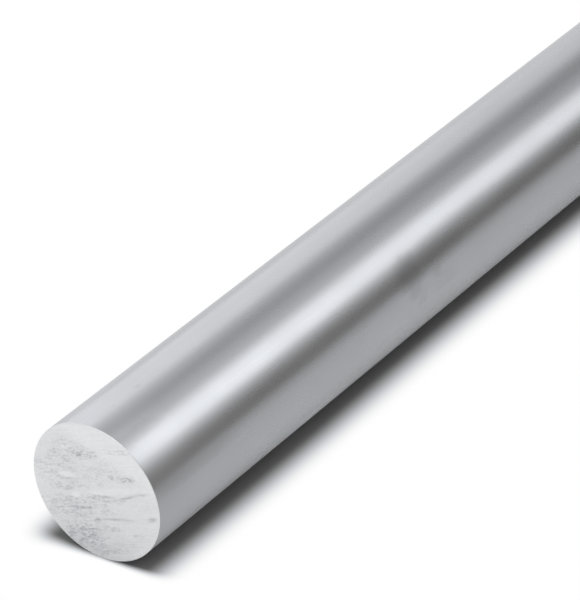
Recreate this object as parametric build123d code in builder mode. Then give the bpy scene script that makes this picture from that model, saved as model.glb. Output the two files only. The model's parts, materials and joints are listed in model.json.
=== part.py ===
"""Round bar: a straight length of drawn round metal stock, one solid piece.

The bar lies on its side along X. The origin is on the plane it rests on, under the
middle of the bar, and +Z is up. All sizes are in millimetres.
"""

import os

from build123d import *

# The stock: its finished section, and the length it is sawn to
bar_diameter = 50.0
bar_length = 500.0

# The small chamfer that takes the saw's burr off the rim of each end
edge_break = 0.3

# The axis runs one radius above the plane that the bar rests on
bar_radius = bar_diameter / 2


def make_round_bar():
    """The round section pushed through the whole length, then both sawn rims broken."""
    with BuildPart() as round_bar:
        with BuildSketch(Plane.YZ.offset(-bar_length / 2)):
            with Locations((0, bar_radius)):
                Circle(bar_radius)
        extrude(amount=bar_length)
        sawn_ends = round_bar.faces().filter_by(Axis.X)
        chamfer(sawn_ends.edges(), edge_break)
    round_bar.part.label = "round_bar"
    return round_bar.part


os.makedirs("parts", exist_ok=True)
export_step(make_round_bar(), "parts/round_bar.step")
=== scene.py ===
"""A length of drawn round bar, lying on its side on a pale studio floor.

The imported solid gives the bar's size and place. This script gives the bar its surface: the
fine lines that drawing leaves along the side, the broken rims, and the two sawn ends with
their saw marks and torn metal. Lengths are in metres and angles in degrees, except where a
note says otherwise.
"""

import json
import math

import bpy
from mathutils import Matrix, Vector


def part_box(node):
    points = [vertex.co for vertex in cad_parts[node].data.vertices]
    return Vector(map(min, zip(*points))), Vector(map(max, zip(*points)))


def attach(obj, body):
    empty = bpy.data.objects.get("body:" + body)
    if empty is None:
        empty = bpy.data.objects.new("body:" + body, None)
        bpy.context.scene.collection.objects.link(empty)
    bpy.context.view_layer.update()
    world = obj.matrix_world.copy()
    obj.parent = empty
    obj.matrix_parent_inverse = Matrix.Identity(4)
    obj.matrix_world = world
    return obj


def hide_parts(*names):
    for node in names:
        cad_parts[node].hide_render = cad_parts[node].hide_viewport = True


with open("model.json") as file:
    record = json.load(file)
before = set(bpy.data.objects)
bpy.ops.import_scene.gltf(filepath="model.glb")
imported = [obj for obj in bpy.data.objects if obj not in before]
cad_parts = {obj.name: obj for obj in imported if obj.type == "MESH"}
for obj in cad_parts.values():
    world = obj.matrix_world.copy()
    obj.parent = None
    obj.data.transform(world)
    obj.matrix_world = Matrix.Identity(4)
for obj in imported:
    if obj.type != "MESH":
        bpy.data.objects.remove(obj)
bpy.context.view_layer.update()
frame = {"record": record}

MM = 0.001
pure_white = (1.0, 1.0, 1.0, 1.0)

# The bar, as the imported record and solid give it
shaft = next(mount for mount in frame["record"]["mounts"] if mount["name"] == "shaft")
bar_low, bar_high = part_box("round_bar")
bar_radius = shaft["dims"]["r_mm"] * MM
bar_length = bar_high.x - bar_low.x
bar_centre = Vector(shaft["pos_m"])
edge_break = (bar_length - shaft["dims"]["length_mm"] * MM) / 2

# The saw cut. Its lines climb to the right on each end, as seen when facing that end.
saw_climb = 24.0
saw_pitch = 1.1 * MM
saw_depth = 0.012 * MM
tear_depth = 0.04 * MM
groove_depth = 0.08 * MM

# The shallow lines that the drawing die leaves along the side
die_depth = 0.002 * MM

# Which pattern of tears and lines the noise gives
pattern_seed = 4.0

# How close two edges have to lie to be welded, and how far the sawn metal reaches round each
# broken rim, as a share of it
weld_gap = 0.01 * MM
sawn_share = 0.75


# ---------------------------------------------------------------- arithmetic with nodes


class Field:
    """A node's output, on which arithmetic adds the nodes that work it out."""

    def __init__(self, socket):
        self.socket = socket
        self.tree = socket.id_data

    def math(self, operation, *others, clamped=False):
        node = self.tree.nodes.new("ShaderNodeMath")
        node.operation = operation
        node.use_clamp = clamped
        for place, value in zip(node.inputs, (self, *others)):
            feed(place, value)
        return Field(node.outputs[0])

    def __add__(self, other):
        return self.math("ADD", other)

    def __sub__(self, other):
        return self.math("SUBTRACT", other)

    def __mul__(self, other):
        return self.math("MULTIPLY", other)

    def __truediv__(self, other):
        return self.math("DIVIDE", other)

    def __neg__(self):
        return self.math("MULTIPLY", -1.0)

    __radd__ = __add__
    __rmul__ = __mul__

    def __rsub__(self, other):
        return (-self) + other

    def rise(self, start, end):
        """0 up to start, 1 from end on, and a smooth climb between them."""
        node = self.tree.nodes.new("ShaderNodeMapRange")
        node.interpolation_type = "SMOOTHSTEP"
        feed(node.inputs["Value"], self)
        feed(node.inputs["From Min"], start)
        feed(node.inputs["From Max"], end)
        return Field(node.outputs["Result"])


def feed(socket, value):
    """Links a Field to the socket, or sets the socket to a plain value."""
    if isinstance(value, Field):
        value.tree.links.new(value.socket, socket)
    else:
        socket.default_value = value


def add(tree, kind, inputs=None, **settings):
    """A new node with its settings made and its inputs fed."""
    node = tree.nodes.new(kind)
    for name, value in settings.items():
        setattr(node, name, value)
    for name, value in (inputs or {}).items():
        feed(node.inputs[name], value)
    return node


def vector(tree, x, y, z):
    return Field(add(tree, "ShaderNodeCombineXYZ", {"X": x, "Y": y, "Z": z}).outputs[0])


def parts_of(tree, value):
    """The x, y and z of a vector."""
    node = add(tree, "ShaderNodeSeparateXYZ", {0: value})
    return [Field(output) for output in node.outputs]


def noise(tree, place, detail=2.0, roughness=0.5, seed=0.0):
    """Smooth noise about 0.5, one cycle or so for each unit of place."""
    node = add(tree, "ShaderNodeTexNoise", noise_dimensions="4D")
    for name, value in {
        "Vector": place,
        "W": seed,
        "Scale": 1.0,
        "Detail": detail,
        "Roughness": roughness,
    }.items():
        feed(node.inputs[name], value)
    return Field(node.outputs["Fac"])


def mix(share, low, high):
    """The number low at share 0 and high at share 1."""
    return low + share * (high - low)


def mix_colour(tree, share, low, high):
    """The colour low at share 0 and high at share 1."""
    node = add(tree, "ShaderNodeMix", data_type="RGBA")
    feed(node.inputs["Factor"], share)
    for socket, colour in zip([i for i in node.inputs if i.type == "RGBA"], (low, high)):
        feed(socket, colour)
    return Field(next(o for o in node.outputs if o.type == "RGBA"))


def graded(tree, share, stops, peak):
    """A number that runs smoothly through (place, value) stops, none above peak, as share goes
    from 0 to 1."""
    node = add(tree, "ShaderNodeValToRGB", {"Fac": share})
    node.color_ramp.interpolation = "EASE"
    elements = node.color_ramp.elements
    while len(elements) < len(stops):
        elements.new(0.5)
    for element, (place, value) in zip(elements, stops):
        element.position = place
        element.color = (value / peak, value / peak, value / peak, 1.0)
    return Field(node.outputs["Color"]).math("MULTIPLY", peak)


# ------------------------------------------------------------------------ the bar's shape

# Torn patches on the sawn face at -X: where each centre lies, right and up in radii as seen
# when facing the end, how many degrees steeper than the saw lines it lies, its half length and
# half width in radii, and how badly it is torn, from 0 to 1.
TORN_PATCHES = (
    (-0.42, 0.48, 0, 0.30, 0.14, 0.50),
    (-0.29, 0.49, 10, 0.11, 0.09, 1.00),
    (-0.08, 0.55, 7, 0.16, 0.05, 0.75),
    (-0.60, 0.42, 10, 0.10, 0.05, 0.70),
    (0.25, 0.34, 0, 0.05, 0.035, 1.00),
    (0.45, 0.38, -5, 0.17, 0.05, 0.75),
    (0.38, 0.77, -4, 0.18, 0.04, 0.40),
    (-0.62, 0.12, 0, 0.32, 0.22, 0.42),
    (-0.45, -0.07, 0, 0.30, 0.07, 0.60),
    (0.08, 0.14, 0, 0.06, 0.03, 0.50),
    (0.10, -0.05, -8, 0.30, 0.05, 0.65),
    (-0.32, -0.35, -4, 0.51, 0.18, 0.55),
    (-0.25, -0.77, 0, 0.42, 0.20, 0.78),
    (0.22, -0.48, 0, 0.20, 0.05, 0.35),
    (0.02, 0.33, 8, 0.34, 0.12, 0.22),
    (0.66, -0.40, -5, 0.12, 0.04, 0.45),
    (0.04, -0.90, 2, 0.55, 0.09, 0.48),
)

# Smooth islands left standing in the torn metal, laid out in the same way
ISLANDS = (
    (-0.45, 0.10, -8, 0.13, 0.045, 1.0),
    (-0.32, -0.16, 5, 0.08, 0.035, 1.0),
    (-0.49, 0.50, 10, 0.10, 0.03, 0.6),
    (0.31, 0.14, 1, 0.56, 0.045, 0.8),
)

# Grooves that a tooth dug, laid out in the same way. Last comes how deep each one is, as a share
# of the groove depth.
GROOVES = (
    (0.58, 0.17, 8, 0.27, 0.016, 0.9),
    (0.10, -0.02, -10, 0.25, 0.016, 0.6),
    (0.34, -0.29, -4, 0.27, 0.017, 1.0),
    (0.02, -0.43, 0, 0.045, 0.030, 1.6),
    (0.89, -0.065, 0, 0.075, 0.028, 1.0),
    (0.57, 0.41, 0, 0.05, 0.014, 0.7),
    (0.03, 0.27, 50, 0.08, 0.012, 0.5),
    (-0.46, 0.04, -8, 0.15, 0.014, 0.7),
    (-0.28, -0.34, -3, 0.18, 0.015, 0.9),
    (0.30, -0.47, -2, 0.12, 0.011, 0.5),
    (0.02, -0.57, -6, 0.12, 0.014, 0.9),
    (-0.15, -0.64, -2, 0.12, 0.016, 0.9),
    (-0.05, -0.69, -8, 0.09, 0.013, 0.6),
    (-0.40, -0.80, -2, 0.08, 0.016, 0.9),
    (-0.15, -0.77, 5, 0.09, 0.024, 1.1),
)

# How far the patches' outlines wander, in half sizes of each oval, what share of that islands
# and grooves take, how soft each kind's outline is, in half sizes too, and how far the grooves
# sway across the saw lines, in radii
outline_wander = 2.2
island_wander, groove_wander = 0.5, 0.4
patch_soft, island_soft, groove_soft = 0.45, 0.4, 0.6
groove_sway = 0.06

# How many saw lines the lines drift by
line_drift = 1.5


def in_an_oval(along, across, oval):
    """0 in the middle of an oval on the face, and 1 on its outline."""
    right, up, steeper, half_length, half_width, _ = oval
    turn = math.radians(saw_climb)
    along = along - (right * math.cos(turn) + up * math.sin(turn))
    across = across - (up * math.cos(turn) - right * math.sin(turn))
    turn = math.radians(steeper)
    lengthways = (along * math.cos(turn) + across * math.sin(turn)) / half_length
    crossways = (across * math.cos(turn) - along * math.sin(turn)) / half_width
    return (lengthways * lengthways + crossways * crossways).math("SQRT")


def face_place(tree, place, radius):
    """Which end a point is nearer, -1 or 1, and where it lies along and across that end's saw
    lines, in radii."""
    x, y, z = parts_of(tree, place)
    end = x.math("SIGN")
    right = y * end / radius
    up = (z - radius) / radius
    turn = math.radians(saw_climb)
    along = right * math.cos(turn) + up * math.sin(turn)
    across = up * math.cos(turn) - right * math.sin(turn)
    return end, along, across


def bar_tree(side_metal, end_metal):
    """The tree that makes the bar: a turned side with broken rims, and two sawn faces."""
    tree = bpy.data.node_groups.new("sawn_round_bar", "GeometryNodeTree")
    sizes = {
        "Radius": bar_radius,
        "Length": bar_length,
        "Edge Break": edge_break,
        "Saw Pitch": saw_pitch,
        "Saw Depth": saw_depth,
        "Tear Depth": tear_depth,
        "Groove Depth": groove_depth,
        "Die Depth": die_depth,
        "Seed": pattern_seed,
    }
    for name, value in sizes.items():
        socket = tree.interface.new_socket(name=name, in_out="INPUT", socket_type="NodeSocketFloat")
        socket.default_value = value
    tree.interface.new_socket(name="Bar", in_out="OUTPUT", socket_type="NodeSocketGeometry")
    given = add(tree, "NodeGroupInput")
    size = {name: Field(given.outputs[name]) for name in sizes}
    made = weld(tree, [side(tree, size), face(tree, size, -1), face(tree, size, 1)])
    made = mark(tree, made, size)
    made = dress(tree, made, size, side_metal, end_metal)
    done = add(tree, "GeometryNodeRealizeInstances", {"Geometry": made})
    last = add(tree, "NodeGroupOutput")
    tree.links.new(done.outputs[0], last.inputs["Bar"])
    return tree, sizes


# How finely the bar is divided: rows of points across the saw lines on each face, with twice as
# many steps round the side, steps along the saw lines, and rings along the side and in each rim
rows_across = 360
steps_along = 96
rings_along_side = 20
rings_in_rim = 5


def grid(tree, columns, rows):
    """A flat grid from -1 to 1 both ways, and its two places as Fields."""
    sheet = add(
        tree,
        "GeometryNodeMeshGrid",
        {"Size X": 2.0, "Size Y": 2.0, "Vertices X": columns, "Vertices Y": rows},
    )
    u, v, _ = parts_of(tree, Field(add(tree, "GeometryNodeInputPosition").outputs[0]))
    return Field(sheet.outputs["Mesh"]), u, v


def moved(tree, sheet, x, y, z):
    """The sheet with each of its points at a new place."""
    inputs = {"Geometry": sheet, "Position": vector(tree, x, y, z)}
    return Field(add(tree, "GeometryNodeSetPosition", inputs).outputs[0])


def side(tree, size):
    """The round side, with a rounded break at each rim."""
    rings = rings_along_side + 2 * rings_in_rim
    sheet, u, v = grid(tree, rings + 1, 2 * rows_across + 1)
    ring = ((u + 1.0) * (rings / 2)).math("ROUND")
    quarter = math.pi / 2
    near_rim = (ring / rings_in_rim).math("MINIMUM", 1.0)
    far_rim = ((rings - ring) / rings_in_rim).math("MINIMUM", 1.0)
    share = ((ring - rings_in_rim) / rings_along_side).math("ADD", 0.0, clamped=True)
    edge = size["Edge Break"]
    near_step = edge * (1.0 - (near_rim * quarter).math("COSINE"))
    far_step = edge * (far_rim * quarter).math("COSINE")
    x = size["Length"] * -0.5 + near_step + (size["Length"] - edge * 2.0) * share + far_step
    rim = near_rim.math("MINIMUM", far_rim)
    radius = size["Radius"] - edge * (1.0 - (rim * quarter).math("SINE"))
    turn = v * -math.pi + math.radians(saw_climb)
    aside = radius * turn.math("COSINE")
    return moved(tree, sheet, x, aside, size["Radius"] + radius * turn.math("SINE"))


def face(tree, size, end):
    """A round face whose rows of points lie along the saw lines."""
    sheet, u, v = grid(tree, steps_along + 1, rows_across + 1)
    swing = v * (math.pi / 2)
    radius = size["Radius"] - size["Edge Break"]
    along = radius * u * swing.math("COSINE")
    across = radius * swing.math("SINE")
    turn = math.radians(saw_climb)
    right = along * math.cos(turn) - across * math.sin(turn)
    up = along * math.sin(turn) + across * math.cos(turn)
    return moved(tree, sheet, size["Length"] * (0.5 * end), right * end, size["Radius"] + up)


def weld(tree, sheets):
    """One closed shell from the side and the faces."""
    joined = add(tree, "GeometryNodeJoinGeometry")
    for sheet in sheets:
        feed(joined.inputs[0], sheet)
    inputs = {"Geometry": Field(joined.outputs[0]), "Distance": weld_gap}
    return Field(add(tree, "GeometryNodeMergeByDistance", inputs).outputs[0])


def covered(along, across, ovals, wander, soft):
    """How far a place lies in any of the ovals, from 0 to each oval's own strength."""
    total = None
    for oval in ovals:
        away = in_an_oval(along, across, oval) + wander
        here = (1.0 - away.rise(1.0 - soft, 1.0 + soft)) * oval[-1]
        total = here if total is None else total.math("MAXIMUM", here)
    return total


def torn(tree, along, across, end, seed):
    """How torn and how polished the -X face is at a place, from 0 to 1, and how deeply dug."""
    ragged = noise(tree, vector(tree, along * 5.0, across * 11.0, end * 7.0), detail=3.0, seed=seed)
    wander = (ragged - 0.5) * outline_wander
    facing = (end * -1.0).math("MAXIMUM", 0.0)
    patches = covered(along, across, TORN_PATCHES, wander, patch_soft) * facing
    islands = covered(along, across, ISLANDS, wander * island_wander, island_soft) * facing
    sway = noise(tree, vector(tree, along * 4.0, across * 2.0, end), seed=seed + 3.0) - 0.5
    swayed = across + sway * groove_sway
    dug = covered(along, swayed, GROOVES, wander * groove_wander, groove_soft) * facing
    return patches * (1.0 - islands), islands, dug


def saw_cut(tree, size, end, along, across, tear, dug):
    """How deep the saw cut a place on a face: its even ridges, the tears and the grooves."""
    seed = size["Seed"]
    drift = noise(tree, vector(tree, along * 1.2, across * 6.0, end * 3.0), seed=seed)
    lines = across * size["Radius"] / size["Saw Pitch"] + drift * line_drift
    ridges = (lines * (2 * math.pi)).math("SINE") * 0.5 + 0.5
    strength = noise(tree, vector(tree, along * 1.5, across * 10.0, end * 5.0), seed=seed + 1.0)
    cut = ridges * size["Saw Depth"] * strength.rise(0.35, 0.65)
    pits = vector(tree, along * 6.0, across * 22.0, end * 9.0)
    rough = noise(tree, pits, detail=4.0, roughness=0.6, seed=seed + 2.0)
    return cut + rough.rise(0.35, 0.75) * tear * size["Tear Depth"] + dug * size["Groove Depth"]


def mark(tree, bar, size):
    """Cuts the saw's marks into both faces and the die's lines into the side."""
    place = Field(add(tree, "GeometryNodeInputPosition").outputs[0])
    x, y, z = parts_of(tree, place)
    end, along, across = face_place(tree, place, size["Radius"])
    inset = size["Length"] * 0.5 - x.math("ABSOLUTE")
    on_face = 1.0 - (inset / size["Edge Break"]).math("MINIMUM", 1.0)
    tear, polished, dug = torn(tree, along, across, end, size["Seed"])
    cut = saw_cut(tree, size, end, along, across, tear, dug) * on_face
    out_y, out_z = y / size["Radius"], z / size["Radius"] - 1.0
    lengthways = vector(tree, x * 1.5, out_y * 14.0, out_z * 14.0)
    die = noise(tree, lengthways, detail=3.0, seed=size["Seed"])
    worn = (die.rise(0.3, 0.7) * size["Die Depth"]) * (1.0 - on_face)
    offset = vector(tree, -(end * cut), -(out_y * worn), -(out_z * worn))
    shaped = add(tree, "GeometryNodeSetPosition", {"Geometry": bar, "Offset": offset})
    made = Field(shaped.outputs[0])
    for name, value in (("torn", tear), ("polished", polished), ("dug", dug)):
        inputs = {"Geometry": made, "Name": name, "Value": value * on_face}
        kind = "GeometryNodeStoreNamedAttribute"
        made = Field(add(tree, kind, inputs, data_type="FLOAT", domain="POINT").outputs[0])
    return made


def dress(tree, bar, size, side_metal, end_metal):
    """Smooth shading, drawn metal on the side, and sawn metal on the faces and round the rims."""
    smooth = add(tree, "GeometryNodeSetShadeSmooth", {"Geometry": bar, "Shade Smooth": True})
    x, _, _ = parts_of(tree, Field(add(tree, "GeometryNodeInputPosition").outputs[0]))
    inset = size["Length"] * 0.5 - x.math("ABSOLUTE")
    sawn = inset.math("LESS_THAN", size["Edge Break"] * sawn_share)
    inputs = {"Geometry": Field(smooth.outputs[0]), "Material": side_metal}
    whole = add(tree, "GeometryNodeSetMaterial", inputs)
    inputs = {"Geometry": Field(whole.outputs[0]), "Selection": sawn, "Material": end_metal}
    ends = add(tree, "GeometryNodeSetMaterial", inputs)
    return Field(ends.outputs[0])


def drawn_bar(side_metal, end_metal):
    """The bar as one plain mesh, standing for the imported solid."""
    tree, sizes = bar_tree(side_metal, end_metal)
    maker = bpy.data.objects.new("bar_maker", bpy.data.meshes.new("bar_maker"))
    bpy.context.scene.collection.objects.link(maker)
    modifier = maker.modifiers.new("sawn_round_bar", "NODES")
    modifier.node_group = tree
    for socket in tree.interface.items_tree:
        if socket.in_out == "INPUT":
            modifier[socket.identifier] = sizes[socket.name]
    evaluated = maker.evaluated_get(bpy.context.evaluated_depsgraph_get())
    mesh = bpy.data.meshes.new_from_object(evaluated)
    bpy.data.objects.remove(maker)
    bar = bpy.data.objects.new("drawn_bar", mesh)
    bpy.context.scene.collection.objects.link(bar)
    return bar


# ------------------------------------------------------------------------------ materials


def blank_material(name):
    """A material with a Principled surface on its output, its tree, and that surface."""
    material = bpy.data.materials.new(name)
    material.use_nodes = True
    tree = material.node_tree
    tree.nodes.clear()
    surface = add(tree, "ShaderNodeBsdfPrincipled")
    output = add(tree, "ShaderNodeOutputMaterial")
    tree.links.new(surface.outputs[0], output.inputs["Surface"])
    return material, tree, surface


def bump(tree, height, distance):
    """The normal of fine relief that is distance deep where height runs from 0 to 1."""
    inputs = {"Height": height, "Distance": distance, "Strength": 1.0}
    return Field(add(tree, "ShaderNodeBump", inputs).outputs["Normal"])


# Nicks and smears on the side, the last two smears painted shade, and painted sheen: how far each
# lies from the end, in radii, its angle round the bar in degrees from +Y over the top, and less
# than 0 beneath, its half length and half width in radii, and its strength
NICKS = (
    (0.52, 85.0, 0.05, 0.020, 0.8),
    (1.06, 84.0, 0.07, 0.025, 1.0),
    (1.48, 84.0, 0.05, 0.020, 0.7),
)
SMEARS_AND_SHADE = (
    (5.87, 148.0, 0.38, 0.29, 1.0),
    (6.45, 147.0, 0.87, 0.24, 0.50),
    (5.86, 165.0, 0.18, 0.16, 0.45),
    (6.02, 178.0, 0.14, 0.26, 0.28),
    (6.42, 161.0, 0.15, 0.16, 0.36),
    (6.60, 178.0, 0.38, 0.24, 0.25),
    (7.10, 137.0, 1.20, 0.12, 0.35),
    (0.0, 115.5, 0.90, 0.13, 0.50),
    # The last two are painted shade: they darken the side near the end, towards -Y
    (0.90, 162.5, 1.10, 0.10, 0.42),
    (0.40, -149.0, 1.20, 0.16, 0.35),
)
# Painted sheen: lighter bands along the side, low towards -Y and near the end at +Y
PAINTED_SHEENS = (
    (3.65, -147.0, 1.05, 0.25, 1.0),
    (0.30, 53.0, 1.80, 0.17, 0.45),
    (12.0, -153.0, 4.0, 0.18, 0.5),
)

# How far the nicks' outlines wander, in half sizes of each mark, what share of that the smears
# with their painted shade and the painted sheen take, and where each mark fades, from 0 in its
# middle to 1 on its outline
mark_wander = 2.0
smear_and_shade_wander, sheen_wander = 0.4, 0.2
fades_from, fades_to = 0.3, 1.2

# The side's metal where its lines shine and where they are dull, with painted sheen, and with its
# dirt and painted shade, and the tint of what it mirrors at a low angle
shining_side = (0.352, 0.360, 0.376, 1.0)
dull_side = (0.338, 0.3455, 0.3605, 1.0)
painted_sheen_side = (0.460, 0.470, 0.490, 1.0)
dirt_and_shade_side = (0.16, 0.165, 0.17, 1.0)
side_tint = (0.980, 0.990, 1.0, 1.0)

# How much of that darker colour a nick takes, and a smear with its painted shade
nick_dirt, smear_and_shade_dirt = 0.16, 0.40

# The side's roughness where it shines and where it is dull, what handling and smears add to it,
# how far from each end it was handled, in radii, and how deep its finest lines are
shining_roughness, dull_roughness = 0.255, 0.295
handled_roughness, smeared_roughness = 0.035, 0.02
handled_length = 2.4
line_depth = 0.003 * MM


def marked(from_end, turn, marks, wander):
    """How strongly the marks show at a place on the side, from 0 to 1."""
    total = None
    for distance, angle, half_length, half_width, strength in marks:
        lengthways = (from_end - distance) / half_length
        crossways = (turn - math.radians(angle)) / half_width
        away = (lengthways * lengthways + crossways * crossways).math("SQRT") + wander
        here = (1.0 - away.rise(fades_from, fades_to)) * strength
        total = here if total is None else total.math("MAXIMUM", here)
    return total


def drawn_lines(tree, place):
    """The fine lines along the side, about 0.5, and how dull the metal is, from 0 to 1."""
    x, y, z = parts_of(tree, place)
    lines = noise(tree, vector(tree, x * 8.0, y * 700.0, z * 700.0), detail=2.0, roughness=0.6)
    broad = noise(tree, vector(tree, x * 5.0, y * 150.0, z * 150.0), detail=3.0, seed=2.0)
    puffs = vector(tree, x * 28.0, y * 45.0, z * 45.0)
    cloud = noise(tree, puffs, detail=4.0, roughness=0.6, seed=5.0)
    dull = (0.45 * lines + 0.55 * broad) * 0.4 + cloud * 0.6
    return lines, dull.rise(0.3, 0.7)


def side_marks(tree, place):
    """How handled and nicked the side is at a place, its smears with their painted shade, and its
    painted sheen, each from 0 to 1.
    """
    x, y, z = parts_of(tree, place)
    from_end = (x + bar_length / 2) / bar_radius
    turn = (z - bar_radius).math("ARCTAN2", y)
    nearest_end = from_end.math("MINIMUM", bar_length / bar_radius - from_end)
    handled = 1.0 - nearest_end.rise(0.0, handled_length)
    patchy = vector(tree, x * 240.0, y * 420.0, z * 420.0)
    wander = (noise(tree, patchy, detail=3.0, seed=7.0) - 0.5) * mark_wander
    nicks = marked(from_end, turn, NICKS, wander)
    smears_and_shade = marked(from_end, turn, SMEARS_AND_SHADE, wander * smear_and_shade_wander)
    painted_sheen = marked(from_end, turn, PAINTED_SHEENS, wander * sheen_wander)
    return handled, nicks, smears_and_shade, painted_sheen


def drawn_side():
    """Satin metal with fine lines along the bar, duller where the ends were handled."""
    material, tree, surface = blank_material("drawn_side")
    surface.inputs["Metallic"].default_value = 1.0
    surface.inputs["Specular Tint"].default_value = side_tint
    place = Field(add(tree, "ShaderNodeTexCoord").outputs["Object"])
    lines, dull = drawn_lines(tree, place)
    handled, nicks, smears_and_shade, painted_sheen = side_marks(tree, place)
    undarkened = mix_colour(tree, dull, shining_side, dull_side)
    # Painted sheen: lighter colour in bands along the side
    undarkened = mix_colour(tree, painted_sheen, undarkened, painted_sheen_side)
    # Nicks and smears darken it with dirt, the last two smears with painted shade
    dirt_and_shade = (nicks * nick_dirt + smears_and_shade * smear_and_shade_dirt).math("ADD", 0.0, clamped=True)
    feed(surface.inputs["Base Color"], mix_colour(tree, dirt_and_shade, undarkened, dirt_and_shade_side))
    roughness = mix(dull, shining_roughness, dull_roughness)
    roughness = roughness + handled * handled_roughness + smears_and_shade * smeared_roughness
    feed(surface.inputs["Roughness"], roughness)
    feed(surface.inputs["Normal"], bump(tree, lines - nicks, line_depth))
    return material


# The sawn metal where the saw cut it clean and where it tore it, its roughness there, and how
# deep its flecks are
cut_end = (0.800, 0.811, 0.822, 1.0)
torn_end = (0.48, 0.495, 0.522, 1.0)
cut_roughness, torn_roughness = 0.48, 0.60
fleck_depth = 0.020 * MM

# Which way the lighter top of each face lies, along and across the saw lines, how ragged its
# edge is, and where that edge starts and ends, in radii from the middle of the face
top_along, top_across, top_ragged = 0.68, 0.79, 0.6
top_starts, top_ends = 0.50, 0.70

# How grey each thing makes the sawn metal, where 1 is the torn colour. The face is greyer away
# from its top, and its grooves are greyed with dirt and painted shade. Tears and grooves are
# paler between their spots.
tear_between, tear_spots = 0.10, 1.0
groove_dirt_shade_between, groove_dirt_shade_spots = 0.35, 0.8
lower_grey, spot_grey = 0.13, 0.07
veil_grey, streak_grey, fleck_grey = 0.06, 0.07, 0.3
polish_white = 0.14


def end_noise(tree, along, across, end):
    """Mottle, flecks, a broad veil and long streaks on a sawn face, each about 0.5."""

    def stretched(lengthways, crossways, **settings):
        place = vector(tree, along * lengthways, across * crossways, end)
        return noise(tree, place, **settings)

    mottle = stretched(5.5, 17.0, detail=3.0, roughness=0.6, seed=3.0)
    flecks = stretched(17.0, 36.0, detail=3.0, roughness=0.6, seed=9.0)
    veil = stretched(2.2, 6.0, detail=3.0, seed=11.0)
    streak = stretched(1.4, 34.0, detail=2.0, seed=6.0)
    return mottle, flecks, veil, streak


def sawn_end():
    """Bright, matt sawn metal, greyer where the saw tore it, away from the top of the face, and in
    its grooves, with dirt and painted shade.
    """
    material, tree, surface = blank_material("sawn_end")
    surface.inputs["Metallic"].default_value = 1.0
    place = Field(add(tree, "ShaderNodeTexCoord").outputs["Object"])
    end, along, across = face_place(tree, place, bar_radius)
    tear, polished, dug = (
        Field(add(tree, "ShaderNodeAttribute", attribute_name=name).outputs["Fac"])
        for name in ("torn", "polished", "dug")
    )
    mottle, flecks, veil, streak = end_noise(tree, along, across, end)
    spots = (mottle * 0.5 + flecks * 0.5).rise(0.42, 0.64)
    topmost = along * top_along + across * top_across + (mottle - 0.5) * top_ragged
    undarkened = topmost.rise(top_starts, top_ends)
    grey = tear * mix(spots, tear_between, tear_spots)
    grey = grey + (1.0 - undarkened) * lower_grey + spots * spot_grey
    grey = grey + veil.rise(0.4, 0.7) * veil_grey + streak.rise(0.5, 0.75) * streak_grey
    grey = grey + (flecks - 0.5) * fleck_grey
    # Its grooves are greyed with dirt and painted shade
    grey = grey + dug * mix(spots, groove_dirt_shade_between, groove_dirt_shade_spots) - polished * polish_white
    grey = grey.math("ADD", 0.0, clamped=True)
    feed(surface.inputs["Base Color"], mix_colour(tree, grey, cut_end, torn_end))
    feed(surface.inputs["Roughness"], mix(grey, cut_roughness, torn_roughness))
    feed(surface.inputs["Normal"], bump(tree, flecks, fleck_depth))
    return material


# The shade that the bar keeps on the floor, in radii: how far it lies towards +Y, how far from
# its middle it starts to clear and where it is gone, how much sooner it starts far along the
# bar, and between which distances from the near end that comes in
shade_middle, shade_start, shade_end = 0.012, 0.667, 1.290
shade_narrowing, narrows_from, narrows_to = 0.044, 3.0, 7.0

# How much of the light is left in the middle of the shade and at its rim, and how white the
# card is
shade_light, rim_light, card_white = 0.20, 0.95, 0.95

# The faint blue of the shade's soft edge, and where it comes and goes as the floor clears
shade_edge_colour = (0.930, 0.970, 1.025, 1.0)
blue_comes, blue_goes = (0.0, 0.25), (0.30, 0.85)

# The shade's edge past the bar's ends, in radii: how far out it lies on the axis, how it leans
# away from there, and how soft it is on the axis, towards +Y and far from the axis
shade_reach, shade_lean = 0.025, 0.110
shade_soft, softer_aside, softer_out = 0.145, 0.114, 0.297

# How far out the floor is open and white in the metal, aside and past the end, in radii
mirrored_end, mirrored_fade = 2.0, 1.4

# Painted falloff of the card's light, in the metal and not to the eye: where the white falls off
# on the side of -Y and along the bar, in radii, and how much of it is gone there
falloff_start, falloff_end, falloff_loss = 5.0, 11.0, 0.4
first_loss, last_loss, loss_along = 2.0, 13.0, 0.11


def past_the_end(x, y, soft):
    """How far a place is through the edge of the shade past the bar's end, which leans and
    softens away from the axis: 0 where that edge starts and 1 where it is over."""
    beyond = x.math("ABSOLUTE") - bar_length / bar_radius / 2 - shade_reach
    return (beyond - y * shade_lean) / (y * softer_aside + y * y * softer_out + soft)


def open_floor(aside, past):
    """0 on the floor close under the bar, and 1 where the floor lies open."""
    aside, past = aside.math("MAXIMUM", 0.0), past.math("MAXIMUM", 0.0)
    return (aside * aside + past * past).math("SQRT").rise(0.0, 1.0)


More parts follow.
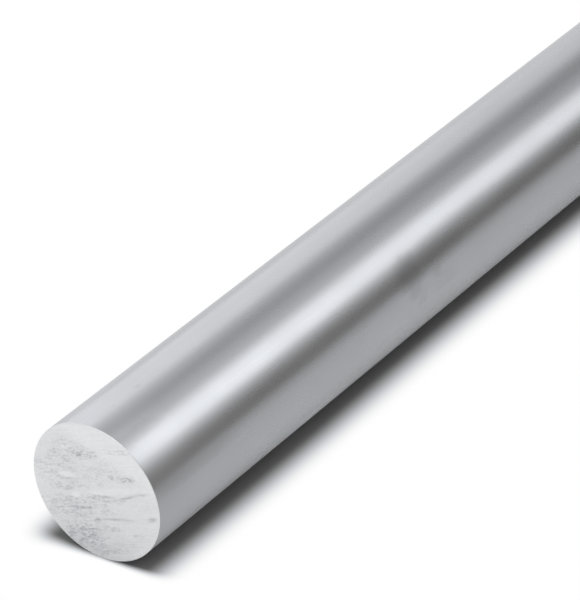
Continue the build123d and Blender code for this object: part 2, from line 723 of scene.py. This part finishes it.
def pale_floor():
    """White card, pure white to the eye, with the bar's shade left on it, and white in the metal
    with a painted falloff of its light far out.
    """
    material, tree, card = blank_material("pale_floor")
    place = Field(add(tree, "ShaderNodeTexCoord").outputs["Object"])
    x, y, _ = (part / bar_radius for part in parts_of(tree, place))
    from_end = x + bar_length / bar_radius / 2
    start = shade_start - from_end.rise(narrows_from, narrows_to) * shade_narrowing
    aside = (y - shade_middle).math("ABSOLUTE") - start
    # To the eye, the middle of that edge lies at the shade's reach
    past = past_the_end(x, y, shade_soft) + 0.5
    seen = open_floor(aside / (shade_end - start), past)
    past = past_the_end(x, y, mirrored_fade)
    reflected = open_floor(aside / (mirrored_end - start), past)
    # Painted falloff: the card darkens far out towards -Y and along the bar, except to the eye
    painted_falloff = 1.0 - (-y).rise(falloff_start, falloff_end) * falloff_loss
    painted_falloff = painted_falloff * (1.0 - from_end.rise(first_loss, last_loss) * loss_along)
    rays = add(tree, "ShaderNodeLightPath")
    eye = Field(rays.outputs["Is Camera Ray"])
    mirrored = Field(rays.outputs["Is Glossy Ray"]) + Field(rays.outputs["Is Transmission Ray"])
    to_the_eye = mix(seen, shade_light, rim_light)
    feed(card.inputs["Base Color"], mix(eye, painted_falloff, to_the_eye) * card_white)
    card.inputs["Roughness"].default_value = 1.0
    card.inputs["Specular IOR Level"].default_value = 0.0
    white = add(tree, "ShaderNodeEmission")
    edge = eye * seen.rise(*blue_comes) * (1.0 - seen.rise(*blue_goes))
    feed(white.inputs["Color"], mix_colour(tree, edge, pure_white, shade_edge_colour))
    share = (eye * seen + mirrored * reflected * painted_falloff).math("MINIMUM", 1.0)
    surface = add(tree, "ShaderNodeMixShader", {"Fac": share})
    tree.links.new(card.outputs[0], surface.inputs[1])
    tree.links.new(white.outputs[0], surface.inputs[2])
    output = next(node for node in tree.nodes if node.type == "OUTPUT_MATERIAL")
    tree.links.new(surface.outputs[0], output.inputs["Surface"])
    return material


# -------------------------------------------------------------------------------- studio

# The studio's light over the bar, as (height in degrees round the bar, brightness) from the
# horizon at +Y, over the top, to the horizon at -Y. The lights past the bar's far end are
# long boxes along it. On the side of its near end there are a low panel at +Y and a wide box
# overhead.
FAR_LIGHTS = (
    (0, 2.02),
    (16, 1.97),
    (42, 2.06),
    (60, 1.12),
    (74, 0.76),
    (88, 1.22),
    (101, 1.40),
    (114, 3.18),
    (133, 3.39),
    (147, 1.22),
    (158, 0.54),
    (174, 0.36),
    (180, 0.36),
)
NEAR_LIGHTS = (
    (0, 0.70),
    (25, 1.00),
    (50, 0.90),
    (70, 0.50),
    (82, 1.60),
    (112, 1.60),
    (124, 0.40),
    (150, 0.35),
    (180, 0.40),
)

# A brightness that none of the lights goes past
brightest = 3.4

# How much of their brightness the long boxes lose towards their far ends, and how much brighter
# the first stretch of them is between the horizon at +Y and the top
far_loss = 0.46
first_gain = 0.15

# Where the lights change along the bar, by how far a direction points towards +X, from 0 to 1:
# from the near ones to the far ones, where the first stretch ends, and where the far ones dim
near_to_far = (0.25, 0.55)
first_stretch = (0.63, 0.665)
far_dimming = (0.57, 0.80)

# Between which heights that gain comes and goes, and the dim light low at -Y turns a little
# warm, as shares of the way from the horizon at +Y, over the top, to the horizon at -Y
gain_comes, gain_goes = (0.10, 0.26), (0.42, 0.52)
warmth_comes = (0.82, 0.94)
low_light_colour = (1.08, 1.0, 0.92, 1.0)


def studio_light():
    """A world whose brightness follows the light boxes round the bar, and is white to the eye."""
    world = bpy.data.worlds.new("studio_light")
    world.use_nodes = True
    tree = world.node_tree
    tree.nodes.clear()
    direction = Field(add(tree, "ShaderNodeTexCoord").outputs["Generated"])
    x, y, z = parts_of(tree, direction)
    height = z.math("ARCTAN2", y) / math.pi
    far, near = (
        graded(tree, height, [(angle / 180, level) for angle, level in lights], brightest)
        for lights in (FAR_LIGHTS, NEAR_LIGHTS)
    )
    far = far * (1.0 - x.rise(*far_dimming) * far_loss)
    low_aside = height.rise(*gain_comes) * (1.0 - height.rise(*gain_goes))
    far = far * (1.0 + (1.0 - x.rise(*first_stretch)) * low_aside * first_gain)
    level = mix(x.rise(*near_to_far), near, far)
    eye = Field(add(tree, "ShaderNodeLightPath").outputs["Is Camera Ray"])
    level = mix(eye, level, 1.0)
    warm = height.rise(*warmth_comes) * (1.0 - eye)
    colour = mix_colour(tree, warm, pure_white, low_light_colour)
    glow = add(tree, "ShaderNodeBackground", {"Strength": level, "Color": colour})
    output = add(tree, "ShaderNodeOutputWorld")
    tree.links.new(glow.outputs[0], output.inputs["Surface"])
    bpy.context.scene.world = world


# Half the width of the floor's middle square and of the frames round it, in metres
floor_halves = (1.0, 8.0, 60.0)

# Where the camera stands, as seen from the point it looks at: degrees from -Y towards +X,
# degrees up, and metres away. Next comes how far that point lies along the bar from its near
# end and above its axis, in radii, and then the lens and sensor in millimetres.
camera_azimuth, camera_elevation, camera_distance = -55.11, 33.13, 1.242
aim_along, aim_above = 4.278, 0.610
lens_length, sensor_width = 224.1, 36.0


def floor():
    """A level floor that reaches past every view of the bar: a square inside wider frames."""
    corners = [(-1, -1), (1, -1), (1, 1), (-1, 1)]
    places = [(x * half, y * half, 0) for half in floor_halves for x, y in corners]
    panels = [(0, 1, 2, 3)]
    for inner in (0, 4):
        for here in range(4):
            after = (here + 1) % 4
            panels.append((inner + 4 + here, inner + 4 + after, inner + after, inner + here))
    mesh = bpy.data.meshes.new("floor")
    mesh.from_pydata(places, [], panels)
    mesh.materials.append(pale_floor())
    ground = bpy.data.objects.new("floor", mesh)
    bpy.context.scene.collection.objects.link(ground)


def camera():
    """Looks down along the bar from beyond its near end, with a long lens."""
    azimuth, elevation = math.radians(camera_azimuth), math.radians(camera_elevation)
    near_end = Vector((bar_low.x, bar_centre.y, bar_centre.z))
    aim = near_end + Vector((aim_along * bar_radius, 0.0, aim_above * bar_radius))
    back = Vector(
        (
            math.sin(azimuth) * math.cos(elevation),
            -math.cos(azimuth) * math.cos(elevation),
            math.sin(elevation),
        )
    )
    lens = bpy.data.cameras.new("camera")
    lens.sensor_width = sensor_width
    lens.lens = lens_length
    lens.clip_start, lens.clip_end = 0.05, 200.0
    eye = bpy.data.objects.new("camera", lens)
    eye.location = aim + back * camera_distance
    eye.rotation_euler = (-back).to_track_quat("-Z", "Y").to_euler()
    bpy.context.scene.collection.objects.link(eye)
    bpy.context.scene.camera = eye


# -------------------------------------------------------------------------- the bar, lit

bar = drawn_bar(drawn_side(), sawn_end())
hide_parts("round_bar")
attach(bar, "root")

floor()
studio_light()
camera()
bpy.context.scene.view_settings.view_transform = "Standard"
